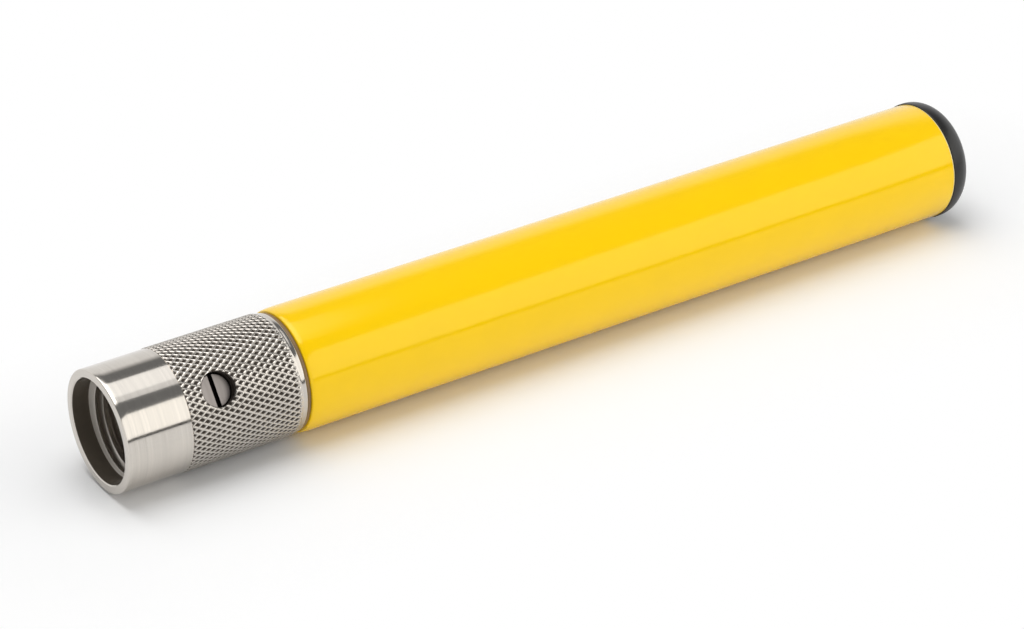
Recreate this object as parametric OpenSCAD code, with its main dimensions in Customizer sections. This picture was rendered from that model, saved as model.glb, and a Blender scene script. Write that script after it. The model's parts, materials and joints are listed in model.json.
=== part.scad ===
// Battery-powered locating probe for a push rod: a steel collar with a threaded mouth
// and a lock screw, unscrewing from a long yellow housing that holds two cells, the
// driver board and the ferrite antenna.
// The axis is +X, from the middle of the mouth face to the end cap. +Z is up.

/* [Collar] */
// Outside radius of the steel collar
collar_r = 16; // [15.6:0.1:17]
// Length of the smooth band behind the mouth
smooth_l = 17.9; // [15:0.1:20]
// Length of the plain band behind the knurl
rear_band = 1.9; // [1:0.1:3]
// Bevel on the outer edges of the collar
edge_bevel = 0.4; // [0.2:0.05:0.6]
// Depth of the turned steps at both ends of the knurl
knurl_step = 0.25; // [0.1:0.05:0.4]

/* [Knurl] */
// Ridges of each hand round the collar
knurl_starts = 60; // [40:1:64]
// Angle of the ridges from the axis, in degrees
knurl_angle = 30; // [25:1:40]
// Depth of the knurl, from its ridges to the bottoms of its pits
knurl_depth = 0.55; // [0.3:0.05:0.7]
// How far the ridges stand proud of the smooth band
knurl_rise = 0.16; // [0:0.02:0.3]

/* [Mouth] */
// Radius of the counterbore at the mouth
counterbore_r = 13.7; // [13:0.1:14.4]
// Depth of the counterbore
counterbore_l = 4.8; // [3:0.1:6]
// Length of the conical lead-in to the thread
lead_in_l = 0.8; // [0.5:0.1:1.5]
// Radius of the thread's crests, as a plain wall (M27 x 3)
thread_minor_r = 11.9; // [11:0.1:12.5]
// Length of the threaded wall
thread_l = 14.9; // [13:0.1:17]
// Radius of the pilot bore that centres the rod's nose
pilot_r = 8.5; // [8:0.1:9]
// Depth of the pilot bore
pilot_l = 13.2; // [12:0.1:15]
// Thickness of the wall between the mouth and the cell chamber
bulkhead_t = 3; // [2:0.1:4]

/* [Lock screw] */
// Angle of the lock screw from straight up, turned towards -Y
lock_angle = 53.2; // [0:0.1:90]
// Radius of the lock screw, as a plain wall (M10 x 1)
lock_r = 4.45; // [4:0.05:5]
// Length of the lock screw
lock_l = 3.2; // [2.6:0.1:4]
// Width of the driver slot
slot_w = 1; // [0.8:0.1:1.4]
// Depth of the driver slot
slot_d = 1.2; // [0.8:0.1:1.4]
// Thickness of the brass pad at the screw's tip
pad_t = 1.3; // [1:0.1:1.6]
// Radius of the pad
pad_r = 3.6; // [3:0.1:3.9]
// Radius of the stem on which the screw turns behind the pad
swivel_r = 1.2; // [0.8:0.1:1.6]
// Length of that stem
swivel_l = 1.2; // [0.8:0.1:1.4]

/* [Neck] */
// Wall of the collar round the neck thread (M27 x 1.5, as a plain wall)
socket_wall = 2.45; // [2:0.05:3]
// Length of the neck in front of its flange
neck_l = 12; // [10:0.1:14]
// Thickness of the flange
flange_t = 3; // [2:0.1:4]
// Length of the spigot that is bonded into the tube
spigot_l = 11.5; // [9:0.1:14]
// Radius of the bore through the neck
neck_bore_r = 7.75; // [7.5:0.05:8.5]
// Thickness of the neck's O-ring
neck_ring_d = 1.5; // [1:0.1:1.8]
// Thickness of the dark slip washer behind the collar
washer_t = 1; // [0.8:0.1:1.6]
// How far the washer's edge sits below the collar's surface
washer_set = 0.5; // [0.3:0.1:0.8]

/* [Housing] */
// How far the sleeve stands proud of the collar
sleeve_step = 0.33; // [0.1:0.01:0.8]
// Wall of the yellow sleeve
sleeve_wall = 1.3; // [1:0.1:1.6]
// Wall of the tube inside the sleeve
tube_wall = 2; // [1.6:0.1:2.2]
// Length of the rounded nose at the front of the sleeve
nose_l = 3; // [1:0.1:4]
// How far the rounded nose drops at its edge
nose_drop = 0.5; // [0.2:0.05:0.8]

/* [End cap] */
// How far the cap's rim stands proud of the sleeve
cap_step = 0.27; // [0:0.01:0.6]
// Length of the cap's straight rim
rim_l = 1.2; // [0.8:0.1:2]
// Radius of the cap's rounded corner
corner_r = 6; // [5:0.1:7]
// Rise of the slightly domed end
dome_h = 1; // [0.5:0.1:1.4]
// Length of the plug inside the tube
plug_l = 8; // [6:0.1:10]
// Thickness of the plug's O-ring
plug_ring_d = 1.8; // [1.2:0.1:2.2]
// Radius of the stud that carries the cap
stud_r = 6; // [5:0.1:7]
// Length of the stud
stud_l = 5; // [4:0.1:6]

/* [Cells] */
// Radius of a cell (size AA)
cell_r = 7.1; // [6.9:0.05:7.2]
// Length of a cell with its positive nub
cell_l = 50.5; // [49:0.1:52]
// Radius of the nub
nub_r = 2.75; // [2.2:0.05:3.2]
// Height of the nub
nub_l = 1.4; // [1:0.1:1.8]
// How far the front cell sits inside the neck
cell_inset = 5.5; // [4:0.1:6.5]
// Clearance round a cell in its cradle
cell_gap = 0.3; // [0.2:0.05:0.6]
// Wall of the cradle
cradle_wall = 1.2; // [0.8:0.1:1.6]
// Thickness of the cradle's ribs
rib_t = 1.6; // [1:0.1:2.4]

/* [Contacts] */
// Radius of the spring's first turn
spring_r = 6.6; // [6:0.1:6.8]
// Radius of the spring's last turn
spring_tip_r = 4.2; // [3.6:0.1:4.8]
// Radius of the spring wire
wire_r = 0.5; // [0.4:0.05:0.6]
// Turns of the spring
spring_turns = 4; // [3:0.5:5]
// Thickness of the spring's plate
plate_t = 0.8; // [0.5:0.1:1.2]
// Radius of the hole in the plate
plate_hole_r = 2.5; // [1.5:0.1:3.2]
// Depth of the plate's pocket in the collar
pocket_l = 2.3; // [1.5:0.1:3]
// Thickness of the contact button's head
button_t = 1.5; // [1:0.1:2]
// Radius of the contact button's head
button_r = 3.4; // [2.8:0.1:4]
// Radius of the button's stem
stem_r = 1.5; // [1.2:0.1:1.8]
// Thickness of the button's rivet head
rivet_t = 0.6; // [0.4:0.05:0.8]
// Thickness of the disc that carries the button
disc_t = 4; // [3:0.1:5]
// Thickness of the return strip
strip_t = 0.4; // [0.3:0.05:0.6]
// Width of the return strip
strip_w = 4; // [3:0.1:4.4]

/* [Electronics] */
// Length of the circuit board
board_l = 55; // [50:0.5:60]
// Thickness of the circuit board
board_t = 1.6; // [1:0.1:2]
// How far the board's top face lies below the axis
board_drop = 1.8; // [1.4:0.1:2.4]
// Width of the rail at each edge of the board
rail_w = 1.5; // [1:0.1:1.8]
// Wall of the board's tray
tray_wall = 2.35; // [2.2:0.05:2.8]
// Radius of a small screw's head, as a share of the room between the strip and the tube
head_share = 0.45; // [0.4:0.01:0.47]
// A small screw's head over its thread (M2)
head_ratio = 1.8; // [1.6:0.1:2]
// Height of a small screw's head
head_t = 1.2; // [0.8:0.1:1.4]

/* [Antenna] */
// Radius of the ferrite rod
rod_r = 5; // [4:0.1:5.5]
// Length of the ferrite rod and its former
rod_l = 40; // [36:0.5:46]
// Wall of the coil former
former_wall = 1; // [0.8:0.1:1.2]
// Thickness of the former's flanges
former_flange_t = 1.6; // [1.2:0.1:2.2]
// Thickness of the coil
coil_t = 2.9; // [2:0.1:3.2]
// Thickness of the foam cushion behind the rod
cushion_t = 3.1; // [2:0.1:6]
// Radius of a coil lead
lead_r = 0.4; // [0.3:0.05:0.5]

/* [Fits] */
// Gap round pieces that are bonded or pushed together
push_gap = 0.03; // [0.02:0.01:0.05]
// Radial clearance of threads and swivels
run_gap = 0.05; // [0.03:0.01:0.1]
// Gap round loose pieces
loose_gap = 0.3; // [0.2:0.05:0.5]

/* [Hidden] */
$fn = 96;
eps = 0.01;

// Places along the collar, from the mouth
thread_x = counterbore_l + lead_in_l;
pilot_x = thread_x + thread_l;
lock_x = pilot_x + pilot_l / 2;
bulkhead_x = pilot_x + pilot_l;
plate_x = bulkhead_x + bulkhead_t;
socket_x = plate_x + pocket_l;
socket_gap = 0.5;
collar_l = socket_x + socket_gap + neck_l - washer_t;
knurl_end = collar_l - rear_band;

// Places along the housing
body_x = collar_l + washer_t;
neck_x = body_x - neck_l;
tube_x = body_x + flange_t;
cradle_x = tube_x + spigot_l;
neck_groove_end = collar_l - loose_gap;
neck_groove_x = neck_groove_end - neck_ring_d - loose_gap;
front_cell_x = neck_x + cell_inset;
rear_cell_x = front_cell_x + cell_l;
button_x = rear_cell_x + cell_l;
disc_x = button_x + button_t;
tray_x = disc_x + disc_t;
board_end_gap = 1;
board_x = tray_x + board_end_gap;
former_x = board_x + board_l + board_end_gap;
cushion_x = former_x + rod_l;
plug_x = cushion_x + cushion_t;
sleeve_end = plug_x + plug_l;

// Radii that follow from one another
sleeve_r = collar_r + sleeve_step;
sleeve_in = sleeve_r - sleeve_wall;
tube_out = sleeve_in - push_gap;
tube_in = tube_out - tube_wall;
inner_r = tube_in - push_gap;
socket_r = collar_r - socket_wall;
neck_r = socket_r - run_gap;
plate_r = spring_r + wire_r + loose_gap;
lock_hole_r = lock_r + run_gap;
cradle_in = cell_r + cell_gap;
cradle_out = cradle_in + cradle_wall;
cap_r = sleeve_r + cap_step;

// Heights inside the lock screw's hole, from the collar's axis
pad_z = pilot_r + run_gap;
screw_z = pad_z + pad_t;

// The circuit board
board_top = -board_drop;
board_bottom = board_top - board_t;
board_half = sqrt(pow(inner_r, 2) - pow(board_bottom, 2)) - rail_w;
// Places on the board: the first group from its front edge, the power parts from its rear edge
inductor_at = [8.6, 5.9];
controller_at = [16.4, 0];
crystal_at = [16.4, -7.4];
chip_row_at = [13.8, 7];
bypass_row_at = [22.6, 0];
transistors_at = board_l - 22.9;
storage_at = board_l - 14.6;
tank_at = board_l - 7;
screw_in_x = 3;
screw_in_y = 2.6;
screw_depth = 5;
strip_z = cradle_out;
head_r = head_share * (tube_in - strip_z - strip_t);
screw_r = head_r / head_ratio;
strip_screw_z = strip_z + strip_t + push_gap + head_r;
strip_leg = board_x + 2;
strip_foot = 3;

// Solid of revolution about the X axis, from points of [radius, x]
module turned(points) {
    rotate([0, 90, 0])
        rotate_extrude()
            polygon(points);
}

// Solid or hollow bar along X, from x0 to x1
module round_bar(x0, x1, r, bore = 0) {
    turned([[bore, x0], [r, x0], [r, x1], [bore, x1]]);
}

// Block between two corners
module block(low, high) {
    translate(low)
        cube(high - low);
}

// Moves a shape built along Z into the lock screw's hole
module at_lock() {
    translate([lock_x, 0, 0])
        rotate([lock_angle, 0, 0])
            children();
}

// Moves a shape built round Z onto the board's top face
module on_board(x, y) {
    translate([board_x + x, y, board_top])
        children();
}

// Round wire along a path: one ring of points at each bend, in the plane that halves it.
// The flat side of the bends is set by a direction that no stretch of the path follows.
module wire(path, r, aside) {
    sides = 8;
    last = len(path) - 1;
    unit = function(v) v / norm(v);
    points = [
        for (i = [0 : last])
            let (
                before = unit(path[max(i, 1)] - path[max(i, 1) - 1]),
                after = unit(path[min(i, last - 1) + 1] - path[min(i, last - 1)]),
                along = unit(before + after),
                across = unit(cross(along, aside)),
                up = cross(across, along)
            )
            for (k = [0 : sides - 1])
                path[i] + r * (cos(360 * k / sides) * across + sin(360 * k / sides) * up)
    ];
    sweep(points, sides, last);
}

// Closed skin over rings of points, each ring with the same number of sides
module sweep(points, sides, last) {
    walls = [
        for (i = [0 : last - 1])
            for (k = [0 : sides - 1])
                let (n = (k + 1) % sides)
                [i * sides + k, i * sides + n, (i + 1) * sides + n, (i + 1) * sides + k]
    ];
    front = [for (k = [sides - 1 : -1 : 0]) k];
    back = [for (k = [0 : sides - 1]) last * sides + k];
    polyhedron(points, concat([front], walls, [back]));
}

// O-ring round the X axis whose outer edge has the radius r
module o_ring(x, r, d) {
    rotate([0, 90, 0])
        translate([0, 0, x])
            rotate_extrude()
                translate([r - d / 2, 0])
                    circle(d = d - push_gap, $fn = 24);
}

// ---- Collar ----

// Bar with a diamond knurl, from x0 to x1. Two sets of helical ridges of opposite hand stand
// round four-sided pits. Ridge crossings and pit bottoms take turns on a grid of half
// pitches, and each cell of the grid is folded along the ridge that runs through it.
// Both end rings are plain and lie just inside the turned faces that they meet.
module knurled_bar(x0, x1) {
    columns = 2 * knurl_starts;
    half_pitch = PI * collar_r / knurl_starts / tan(knurl_angle);
    rows = round((x1 - x0) / half_pitch);
    peak_r = collar_r + knurl_rise;
    pit_r = peak_r - knurl_depth;
    end_r = collar_r - knurl_step - 2 * push_gap;
    points = [
        for (i = [0 : rows])
            for (j = [0 : columns - 1])
                let (
                    a = 360 * j / columns,
                    r = i == 0 || i == rows ? end_r : (i + j) % 2 == 0 ? peak_r : pit_r
                )
                [x0 + (x1 - x0) * i / rows, r * cos(a), r * sin(a)]
    ];
    cells = [
        for (i = [0 : rows - 1])
            for (j = [0 : columns - 1])
                let (
                    next = (j + 1) % columns,
                    a = i * columns + j,
                    b = i * columns + next,
                    c = (i + 1) * columns + next,
                    d = (i + 1) * columns + j
                )
                each (i + j) % 2 == 0 ? [[a, c, b], [a, d, c]] : [[a, d, b], [c, b, d]]
    ];
    front = [for (j = [0 : columns - 1]) j];
    back = [for (j = [columns - 1 : -1 : 0]) rows * columns + j];
    polyhedron(points, concat([front], cells, [back]));
}

module collar() {
    color("silver")
        difference() {
            union() {
                turned([
                    [0, 0],
                    [collar_r - edge_bevel, 0],
                    [collar_r, edge_bevel],
                    [collar_r, smooth_l - knurl_step],
                    [collar_r - knurl_step, smooth_l],
                    [0, smooth_l]
                ]);
                knurled_bar(smooth_l, knurl_end);
                turned([
                    [0, knurl_end],
                    [collar_r - knurl_step, knurl_end],
                    [collar_r - knurl_step, collar_l - edge_bevel],
                    [collar_r - edge_bevel - knurl_step, collar_l],
                    [0, collar_l]
                ]);
            }
            turned([
                [0, -eps],
                [counterbore_r, -eps],
                [counterbore_r, counterbore_l],
                [thread_minor_r, thread_x],
                [thread_minor_r, pilot_x],
                [pilot_r, pilot_x],
                [pilot_r, bulkhead_x],
                [0, bulkhead_x]
            ]);
            turned([
                [0, plate_x],
                [plate_r + push_gap, plate_x],
                [plate_r + push_gap, socket_x],
                [socket_r, socket_x],
                [socket_r, collar_l + eps],
                [0, collar_l + eps]
            ]);
            at_lock()
                translate([0, 0, pilot_r / 2])
                    cylinder(h = collar_r, r = lock_hole_r);
        }
}

module spring_plate() {
    color("goldenrod")
        round_bar(plate_x, plate_x + plate_t, plate_r, plate_hole_r);
}

// Conical spring: one ring of points for each step along the helix, with flat end turns
module battery_spring() {
    steps_per_turn = 24;
    sides = 8;
    flat = 0.6;
    steps = spring_turns * steps_per_turn;
    x0 = plate_x + plate_t + wire_r;
    x1 = front_cell_x - wire_r;
    rise = function(t) min(max((t - flat) / (spring_turns - 2 * flat), 0), 1);
    points = [
        for (i = [0 : steps])
            let (
                t = i / steps_per_turn,
                x = x0 + (x1 - x0) * rise(t),
                r = spring_r + (spring_tip_r - spring_r) * t / spring_turns
            )
            for (k = [0 : sides - 1])
                let (
                    a = 360 * k / sides,
                    ring_r = r + wire_r * cos(a)
                )
                [x + wire_r * sin(a), ring_r * cos(360 * t), ring_r * sin(360 * t)]
    ];
    color("lightgray")
        sweep(points, sides, steps);
}

module lock_screw() {
    bevel = 0.35;
    color("silver")
        at_lock()
            translate([0, 0, screw_z])
                difference() {
                    rotate_extrude()
                        polygon([
                            [0, 0],
                            [lock_r - bevel, 0],
                            [lock_r, bevel],
                            [lock_r, lock_l - bevel],
                            [lock_r - bevel, lock_l],
                            [0, lock_l]
                        ]);
                    translate([-slot_w / 2, -collar_r, lock_l - slot_d])
                        cube([slot_w, 2 * collar_r, collar_r]);
                    translate([0, 0, -eps])
                        cylinder(h = swivel_l + loose_gap, r = swivel_r + run_gap, $fn = 48);
                }
}

module lock_pad() {
    color("goldenrod")
        at_lock()
            translate([0, 0, pad_z]) {
                cylinder(h = pad_t, r = pad_r);
                cylinder(h = pad_t + swivel_l, r = swivel_r, $fn = 48);
            }
}

// ---- Joint between the collar and the housing ----

module slip_washer() {
    color("saddlebrown")
        round_bar(collar_l, body_x, collar_r - washer_set, neck_r + loose_gap);
}

module neck_spigot() {
    lead = 0.8;
    color("gainsboro")
        difference() {
            turned([
                [neck_bore_r, neck_x],
                [neck_r - lead, neck_x],
                [neck_r, neck_x + lead],
                [neck_r, neck_groove_x],
                [neck_r - neck_ring_d, neck_groove_x],
                [neck_r - neck_ring_d, neck_groove_end],
                [neck_r, neck_groove_end],
                [neck_r, body_x],
                [tube_out, body_x],
                [tube_out, tube_x],
                [inner_r, tube_x],
                [inner_r, cradle_x],
                [neck_bore_r, cradle_x]
            ]);
            translate([cradle_x + eps, 0, strip_screw_z])
                rotate([0, -90, 0])
                    cylinder(h = screw_depth + loose_gap, r = screw_r + push_gap, $fn = 32);
        }
}

module neck_o_ring() {
    o_ring((neck_groove_x + neck_groove_end) / 2, neck_r, neck_ring_d);
}

// ---- Housing ----

module housing_tube() {
    color("dimgray")
        round_bar(tube_x, sleeve_end, tube_out, tube_in);
}

module yellow_sleeve() {
    edge = 0.2;
    nose = [
        for (a = [0 : 15 : 90])
            [sleeve_r - nose_drop * (1 - sin(a)), body_x + nose_l * (1 - cos(a))]
    ];
    rear = [
        [sleeve_r, sleeve_end - edge],
        [sleeve_r - edge, sleeve_end],
        [sleeve_in, sleeve_end],
        [sleeve_in, body_x]
    ];
    color("gold")
        turned(concat(nose, rear));
}

module end_plug() {
    groove_w = plug_ring_d + loose_gap;
    groove_x = plug_x + (plug_l - groove_w) / 2;
    bevel = 0.5;
    color([0.12, 0.12, 0.12])
        turned([
            [0, plug_x],
            [inner_r - bevel, plug_x],
            [inner_r, plug_x + bevel],
            [inner_r, groove_x],
            [inner_r - plug_ring_d, groove_x],
            [inner_r - plug_ring_d, groove_x + groove_w],
            [inner_r, groove_x + groove_w],
            [inner_r, sleeve_end],
            [stud_r, sleeve_end],
            [stud_r, sleeve_end + stud_l - bevel],
            [stud_r - bevel, sleeve_end + stud_l],
            [0, sleeve_end + stud_l]
        ]);
}

module plug_o_ring() {
    o_ring(plug_x + plug_l / 2, inner_r, plug_ring_d);
}

module end_cap() {
    corner_x = sleeve_end + rim_l;
    corner = [
        for (a = [0 : 9 : 90])
            [cap_r - corner_r * (1 - cos(a)), corner_x + corner_r * sin(a)]
    ];
    dome_r = cap_r - corner_r;
    dome = [
        for (s = [0.75, 0.5, 0.25, 0])
            [dome_r * s, corner_x + corner_r + dome_h * (1 - s * s)]
    ];
    bore_r = stud_r + run_gap;
    bore_end = sleeve_end + stud_l + loose_gap;
    color([0.1, 0.1, 0.1])
        turned(concat(
            [[bore_r, sleeve_end], [cap_r, sleeve_end]],
            corner,
            dome,
            [[0, bore_end], [bore_r, bore_end]]
        ));
}

// ---- Cells and contacts ----

module cell(x) {
    bevel = 0.5;
    shoulder = x + cell_l - nub_l;
    turned([
        [0, x],
        [cell_r - bevel, x],
        [cell_r, x + bevel],
        [cell_r, shoulder - bevel],
        [cell_r - bevel, shoulder],
        [nub_r, shoulder],
        [nub_r, x + cell_l],
        [0, x + cell_l]
    ]);
}

module front_cell() {
    color("royalblue")
        cell(front_cell_x);
}

module rear_cell() {
    color("royalblue")
        cell(rear_cell_x);
}

// Moulded cradle: a thin tube round the cells with four ribs out to the housing
module cell_cradle() {
    color([0.2, 0.2, 0.2])
        translate([cradle_x, 0, 0])
            rotate([0, 90, 0])
                linear_extrude(disc_x - cradle_x)
                    difference() {
                        union() {
                            circle(r = cradle_out);
                            intersection() {
                                circle(r = inner_r);
                                for (a = [45, 135])
                                    rotate(a)
                                        square([4 * inner_r, rib_t], center = true);
                            }
                        }
                        circle(r = cradle_in);
                    }
}

module contact_disc() {
    color([0.15, 0.15, 0.15])
        difference() {
            round_bar(disc_x, tray_x, inner_r, stem_r + push_gap);
            block(
                [disc_x - eps, -strip_w / 2 - loose_gap, strip_z - eps],
                [tray_x + eps, strip_w / 2 + loose_gap, tube_in]
            );
        }
}

// Brass button riveted through the disc
module contact_button() {
    rivet_r = stem_r + 0.9;
    color("goldenrod")
        turned([
            [0, button_x],
            [button_r, button_x],
            [button_r, disc_x],
            [stem_r, disc_x],
            [stem_r, tray_x],
            [rivet_r, tray_x],
            [rivet_r, tray_x + rivet_t],
            [0, tray_x + rivet_t]
        ]);
}

// Stamped strip from the neck's rear face along the cradle to the board
module return_strip() {
    half = strip_w / 2;
    tab_top = inner_r - loose_gap;
    color("gold")
        difference() {
            union() {
                block([cradle_x, -half, strip_z], [strip_leg + strip_t, half, strip_z + strip_t]);
                block([cradle_x, -half, strip_z], [cradle_x + strip_t, half, tab_top]);
                block([strip_leg, -half, board_top], [strip_leg + strip_t, half, strip_z + strip_t]);
                block(
                    [strip_leg, -half, board_top],
                    [strip_leg + strip_foot, half, board_top + strip_t]
                );
            }
            translate([cradle_x - eps, 0, strip_screw_z])
                rotate([0, 90, 0])
                    cylinder(h = strip_t + 2 * eps, r = screw_r + push_gap, $fn = 32);
        }
}

// Lead from the button's rivet to the board, bent round the strip
module battery_lead() {
    lead = 0.5;
    side = strip_w / 2 + 3;
    color("red")
        wire([
            [tray_x + rivet_t, 0, 0],
            [tray_x + rivet_t + 0.6, 0, 0],
            [board_x + 1.4, -side + 1.2, 0.4],
            [board_x + 5, -side, 0.2],
            [board_x + 5, -side, board_top]
        ], lead, [0.3, 0.5, 1]);
}

// ---- Electronics ----

// Places of the tray's screws on the board
function tray_screws() = [
    for (x = [screw_in_x, board_l - screw_in_x])
        for (y = [-1, 1])
            [x, y * (board_half - screw_in_y)]
];

// Open tray under the board, with a rail along each edge and a boss under each screw
module board_tray() {
    end_wall = 1.6;
    boss_r = 2.2;
    color([0.25, 0.25, 0.25])
        difference() {
            round_bar(tray_x, former_x, inner_r);
            block(
                [tray_x - eps, -collar_r, board_top],
                [former_x + eps, collar_r, collar_r]
            );
            difference() {
                round_bar(tray_x + end_wall, former_x - end_wall, inner_r - tray_wall);
                for (p = tray_screws())
                    translate([board_x + p[0], p[1], -collar_r])
                        cylinder(h = collar_r, r = boss_r, $fn = 48);
            }
            block(
                [tray_x - eps, -board_half - push_gap, board_bottom],
                [former_x + eps, board_half + push_gap, collar_r]
            );
            for (p = tray_screws())
                translate([board_x + p[0], p[1], board_top - screw_depth])
                    cylinder(h = collar_r, r = screw_r + push_gap, $fn = 32);
        }
}

module circuit_board() {
    color("darkgreen")
        difference() {
            block([board_x, -board_half, board_bottom], [board_x + board_l, board_half, board_top]);
            for (p = tray_screws())
                translate([board_x + p[0], p[1], board_bottom - eps])
                    cylinder(h = board_t + 2 * eps, r = screw_r + push_gap, $fn = 32);
        }
}

// Pan-head screw pointing down from the origin, with a cross recess
module small_screw() {
    recess = 0.6;
    difference() {
        union() {
            translate([0, 0, push_gap])
                cylinder(h = head_t, r = head_r, $fn = 32);
            translate([0, 0, -screw_depth + push_gap])
                cylinder(h = screw_depth + eps, r = screw_r, $fn = 32);
        }
        for (a = [0, 90])
            rotate(a)
                translate([-head_r / 2, -0.2, push_gap + head_t - recess])
                    cube([head_r, 0.4, head_t]);
    }
}

module small_screws() {
    color("lightgray") {
        for (p = tray_screws())
            on_board(p[0], p[1])
                small_screw();
        translate([cradle_x + strip_t, 0, strip_screw_z])
            rotate([0, 90, 0])
                small_screw();
    }
}

module microcontroller() {
    size = 7;
    body_h = 1.2;
    lead_pitch = 0.8;
    lead_l = 1;
    color([0.08, 0.08, 0.08])
        on_board(controller_at[0], controller_at[1]) {
            translate([-size / 2, -size / 2, 0.1])
                cube([size, size, body_h]);
            for (a = [0, 90, 180, 270])
                rotate(a)
                    for (i = [-3 : 3])
                        translate([size / 2 - 0.2, i * lead_pitch - 0.17, 0])
                            cube([lead_l, 0.34, 0.3]);
        }
}

module crystal() {
    can_l = 10.8;
    can_w = 4.5;
    can_h = 3.4;
    base_t = 0.5;
    color("silver")
        on_board(crystal_at[0], crystal_at[1]) {
            linear_extrude(base_t)
                stadium(can_l, can_w);
            linear_extrude(can_h)
                stadium(can_l - 0.8, can_w - 0.8);
        }
}

// Flat outline with two straight sides and round ends
module stadium(length, width) {
    square([length - width, width], center = true);
    for (s = [-1, 1])
        translate([s * (length - width) / 2, 0])
            circle(d = width, $fn = 48);
}

module drum_inductor() {
    color([0.2, 0.2, 0.2])
        on_board(inductor_at[0], inductor_at[1])
            rotate_extrude()
                polygon([
                    [0, 0], [3.8, 0], [3.8, 1], [3.2, 1.2], [3.2, 4.6],
                    [3.8, 4.8], [3.8, 5.8], [0, 5.8]
                ]);
}

module driver_transistors() {
    color([0.1, 0.1, 0.1])
        for (s = [-1, 1])
            on_board(transistors_at, s * 5.4) {
                translate([-2.9, -3.2, 0.1])
                    cube([5.6, 6.4, 2.3]);
                translate([-4.1, -2.6, 0])
                    cube([1.4, 5.2, 0.5]);
                for (y = [-2.3, 2.3])
                    translate([2.5, y - 0.4, 0])
                        cube([1.6, 0.8, 0.5]);
            }
}

module storage_capacitors() {
    can_r = 3.9;
    can_h = 9.6;
    color("lightslategray")
        for (s = [-1, 1])
            on_board(storage_at, s * 4.9)
                rotate_extrude()
                    polygon([
                        [0, 0], [can_r, 0], [can_r, 1], [can_r - 0.3, 1.3], [can_r, 1.6],
                        [can_r, can_h - 0.4], [can_r - 0.4, can_h], [0, can_h]
                    ]);
}

module tank_capacitor() {
    color("firebrick")
        on_board(tank_at, 0)
            translate([-3, -6, 0])
                cube([6, 12, 8.6]);
}

// Chip resistors in a row beside the controller, and small bypass capacitors behind it
module chip_parts() {
    chip_pitch = 2.2;
    bypass_pitch = 1.4;
    color("tan") {
        for (i = [0 : 3])
            on_board(chip_row_at[0] + i * chip_pitch, chip_row_at[1])
                translate([-0.6, -1, 0])
                    cube([1.2, 2, 0.6]);
        for (i = [0 : 2])
            on_board(bypass_row_at[0] + i * bypass_pitch, bypass_row_at[1])
                translate([-0.4, -0.8, 0])
                    cube([0.8, 1.6, 0.5]);
    }
}

// ---- Antenna ----

module coil_former() {
    barrel_r = rod_r + run_gap + former_wall;
    notch_half = 4;
    color([0.85, 0.82, 0.72])
        difference() {
            turned([
                [rod_r + run_gap, former_x],
                [inner_r, former_x],
                [inner_r, former_x + former_flange_t],
                [barrel_r, former_x + former_flange_t],
                [barrel_r, cushion_x - former_flange_t],
                [inner_r, cushion_x - former_flange_t],
                [inner_r, cushion_x],
                [rod_r + run_gap, cushion_x]
            ]);
            block(
                [former_x - eps, -notch_half, barrel_r + coil_t - 1],
                [former_x + former_flange_t + eps, notch_half, tube_in]
            );
        }
}

module ferrite_rod() {
    bevel = 0.4;
    color([0.18, 0.18, 0.2])
        turned([
            [0, former_x],
            [rod_r - bevel, former_x],
            [rod_r, former_x + bevel],
            [rod_r, cushion_x - bevel],
            [rod_r - bevel, cushion_x],
            [0, cushion_x]
        ]);
}

module antenna_coil() {
    barrel_r = rod_r + run_gap + former_wall;
    color("chocolate")
        round_bar(
            former_x + former_flange_t + push_gap,
            cushion_x - former_flange_t - push_gap,
            barrel_r + coil_t,
            barrel_r + push_gap
        );
}

// Two leads from the coil over the front flange down to the board
module coil_leads() {
    top = rod_r + run_gap + former_wall + coil_t + 0.1;
    color("orangered")
        for (y = [-2, 2])
            wire([
                [former_x + former_flange_t + 3, y, top],
                [former_x + former_flange_t / 2, y, top + 0.2],
                [former_x - 1.6, y, top - 1],
                [former_x - 2.6, y, top - 4],
                [former_x - 2.6, y, board_top]
            ], lead_r, [0, 1, 0]);
}

module rod_cushion() {
    color("dimgray")
        round_bar(cushion_x, plug_x, tube_in - loose_gap);
}

collar();
spring_plate();
battery_spring();
lock_screw();
lock_pad();
slip_washer();
neck_spigot();
neck_o_ring();
housing_tube();
yellow_sleeve();
cell_cradle();
front_cell();
rear_cell();
return_strip();
contact_disc();
contact_button();
battery_lead();
board_tray();
circuit_board();
microcontroller();
crystal();
drum_inductor();
driver_transistors();
storage_capacitors();
tank_capacitor();
chip_parts();
small_screws();
coil_former();
ferrite_rod();
antenna_coil();
coil_leads();
rod_cushion();
end_plug();
plug_o_ring();
end_cap();
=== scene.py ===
import json
import math

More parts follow.
